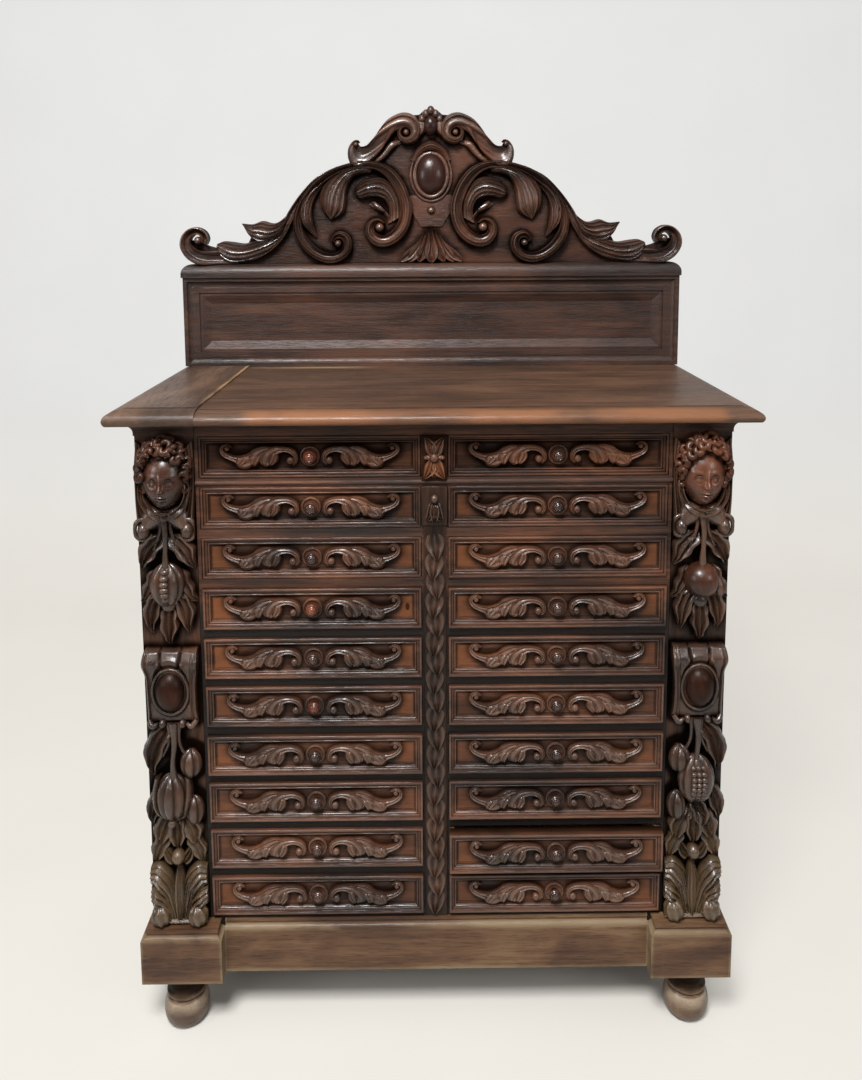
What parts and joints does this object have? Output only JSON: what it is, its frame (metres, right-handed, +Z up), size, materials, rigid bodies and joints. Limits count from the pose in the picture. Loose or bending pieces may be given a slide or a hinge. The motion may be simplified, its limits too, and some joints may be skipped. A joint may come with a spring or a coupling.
{
  "type": "coin cabinet",
  "caption": "Carved oak coin cabinet: columns of shallow knobbed drawers between carved pilasters, moulded top, panelled back board and scrolled crest, on bun feet.",
  "frame": {"origin": "on the floor, under the centre of the cabinet's own box", "axes": "+Z up, -Y the way the drawers open, +X to the right of someone facing the drawers"},
  "size_m": [1.07, 0.478, 1.655],
  "materials": {
    "carved_oak": "dark stained and waxed carved oak, near black in the hollows, worn reddish on the edges",
    "case_oak": "dark stained and waxed oak with open grain",
    "inner_oak": "thinly stained, unpolished oak boards",
    "top_oak": "greyed brown oak with a soft sheen and an orange worn nosing",
    "plinth_oak": "olive brown oak, worn pale along its edges",
    "foot_oak": "turned oak, tan where it is worn and dark at the collar",
    "drawer_front_oak": "dark stained and waxed oak, reddish on the field, with a turned knob",
    "tray_oak": "plain unstained oak"
  },
  "bodies": {
    "carcass": {"crest": "carved_oak", "pilaster_left": "carved_oak", "pilaster_right": "carved_oak", "garland_stile": "carved_oak", "rosette_block": "carved_oak", "side_left": "case_oak", "side_right": "case_oak", "face_frame": "case_oak", "bed_mouldings": "case_oak", "back_upstand": "case_oak", "back_panel": "inner_oak", "bottom_board": "inner_oak", "column_walls": "inner_oak", "drawer_runners": "inner_oak", "top_main": "top_oak", "top_left_end": "top_oak", "plinth_block_left": "plinth_oak", "plinth_block_right": "plinth_oak", "plinth_frame": "plinth_oak", "bun_feet": "foot_oak"},
    "drawer_left_01": {"drawer_left_01_front": "drawer_front_oak", "drawer_left_01_box": "tray_oak"},
    "drawer_left_02": {"drawer_left_02_front": "drawer_front_oak", "drawer_left_02_box": "tray_oak"},
    "drawer_left_03": {"drawer_left_03_front": "drawer_front_oak", "drawer_left_03_box": "tray_oak"},
    "drawer_left_04": {"drawer_left_04_front": "drawer_front_oak", "drawer_left_04_box": "tray_oak"},
    "drawer_left_05": {"drawer_left_05_front": "drawer_front_oak", "drawer_left_05_box": "tray_oak"},
    "drawer_left_06": {"drawer_left_06_front": "drawer_front_oak", "drawer_left_06_box": "tray_oak"},
    "drawer_left_07": {"drawer_left_07_front": "drawer_front_oak", "drawer_left_07_box": "tray_oak"},
    "drawer_left_08": {"drawer_left_08_front": "drawer_front_oak", "drawer_left_08_box": "tray_oak"},
    "drawer_left_09": {"drawer_left_09_front": "drawer_front_oak", "drawer_left_09_box": "tray_oak"},
    "drawer_left_10": {"drawer_left_10_front": "drawer_front_oak", "drawer_left_10_box": "tray_oak"},
    "drawer_right_01": {"drawer_right_01_front": "drawer_front_oak", "drawer_right_01_box": "tray_oak"},
    "drawer_right_02": {"drawer_right_02_front": "drawer_front_oak", "drawer_right_02_box": "tray_oak"},
    "drawer_right_03": {"drawer_right_03_front": "drawer_front_oak", "drawer_right_03_box": "tray_oak"},
    "drawer_right_04": {"drawer_right_04_front": "drawer_front_oak", "drawer_right_04_box": "tray_oak"},
    "drawer_right_05": {"drawer_right_05_front": "drawer_front_oak", "drawer_right_05_box": "tray_oak"},
    "drawer_right_06": {"drawer_right_06_front": "drawer_front_oak", "drawer_right_06_box": "tray_oak"},
    "drawer_right_07": {"drawer_right_07_front": "drawer_front_oak", "drawer_right_07_box": "tray_oak"},
    "drawer_right_08": {"drawer_right_08_front": "drawer_front_oak", "drawer_right_08_box": "tray_oak"},
    "drawer_right_09": {"drawer_right_09_front": "drawer_front_oak", "drawer_right_09_box": "tray_oak"},
    "drawer_right_10": {"drawer_right_10_front": "drawer_front_oak", "drawer_right_10_box": "tray_oak"}
  },
  "joints": [
    {"name": "drawer_left_01_slide", "type": "slide", "parent": "carcass", "child": "drawer_left_01", "axis": [0, -1, 0], "range_m": [0, 0.3]},
    {"name": "drawer_left_02_slide", "type": "slide", "parent": "carcass", "child": "drawer_left_02", "axis": [0, -1, 0], "range_m": [0, 0.3]},
    {"name": "drawer_left_03_slide", "type": "slide", "parent": "carcass", "child": "drawer_left_03", "axis": [0, -1, 0], "range_m": [0, 0.3]},
    {"name": "drawer_left_04_slide", "type": "slide", "parent": "carcass", "child": "drawer_left_04", "axis": [0, -1, 0], "range_m": [-0.006, 0.3]},
    {"name": "drawer_left_05_slide", "type": "slide", "parent": "carcass", "child": "drawer_left_05", "axis": [0, -1, 0], "range_m": [-0.007, 0.3]},
    {"name": "drawer_left_06_slide", "type": "slide", "parent": "carcass", "child": "drawer_left_06", "axis": [0, -1, 0], "range_m": [-0.006, 0.3]},
    {"name": "drawer_left_07_slide", "type": "slide", "parent": "carcass", "child": "drawer_left_07", "axis": [0, -1, 0], "range_m": [-0.009, 0.3]},
    {"name": "drawer_left_08_slide", "type": "slide", "parent": "carcass", "child": "drawer_left_08", "axis": [0, -1, 0], "range_m": [-0.007, 0.3]},
    {"name": "drawer_left_09_slide", "type": "slide", "parent": "carcass", "child": "drawer_left_09", "axis": [0, -1, 0], "range_m": [-0.006, 0.3]},
    {"name": "drawer_left_10_slide", "type": "slide", "parent": "carcass", "child": "drawer_left_10", "axis": [0, -1, 0], "range_m": [-0.008, 0.3]},
    {"name": "drawer_right_01_slide", "type": "slide", "parent": "carcass", "child": "drawer_right_01", "axis": [0, -1, 0], "range_m": [0, 0.3]},
    {"name": "drawer_right_02_slide", "type": "slide", "parent": "carcass", "child": "drawer_right_02", "axis": [0, -1, 0], "range_m": [0, 0.3]},
    {"name": "drawer_right_03_slide", "type": "slide", "parent": "carcass", "child": "drawer_right_03", "axis": [0, -1, 0], "range_m": [-0.004, 0.3]},
    {"name": "drawer_right_04_slide", "type": "slide", "parent": "carcass", "child": "drawer_right_04", "axis": [0, -1, 0], "range_m": [-0.008, 0.3]},
    {"name": "drawer_right_05_slide", "type": "slide", "parent": "carcass", "child": "drawer_right_05", "axis": [0, -1, 0], "range_m": [-0.007, 0.3]},
    {"name": "drawer_right_06_slide", "type": "slide", "parent": "carcass", "child": "drawer_right_06", "axis": [0, -1, 0], "range_m": [-0.007, 0.3]},
    {"name": "drawer_right_07_slide", "type": "slide", "parent": "carcass", "child": "drawer_right_07", "axis": [0, -1, 0], "range_m": [-0.009, 0.3]},
    {"name": "drawer_right_08_slide", "type": "slide", "parent": "carcass", "child": "drawer_right_08", "axis": [0, -1, 0], "range_m": [-0.007, 0.3]},
    {"name": "drawer_right_09_slide", "type": "slide", "parent": "carcass", "child": "drawer_right_09", "axis": [0, -1, 0], "range_m": [-0.025, 0.3]},
    {"name": "drawer_right_10_slide", "type": "slide", "parent": "carcass", "child": "drawer_right_10", "axis": [0, -1, 0], "range_m": [-0.009, 0.3]}
  ]
}
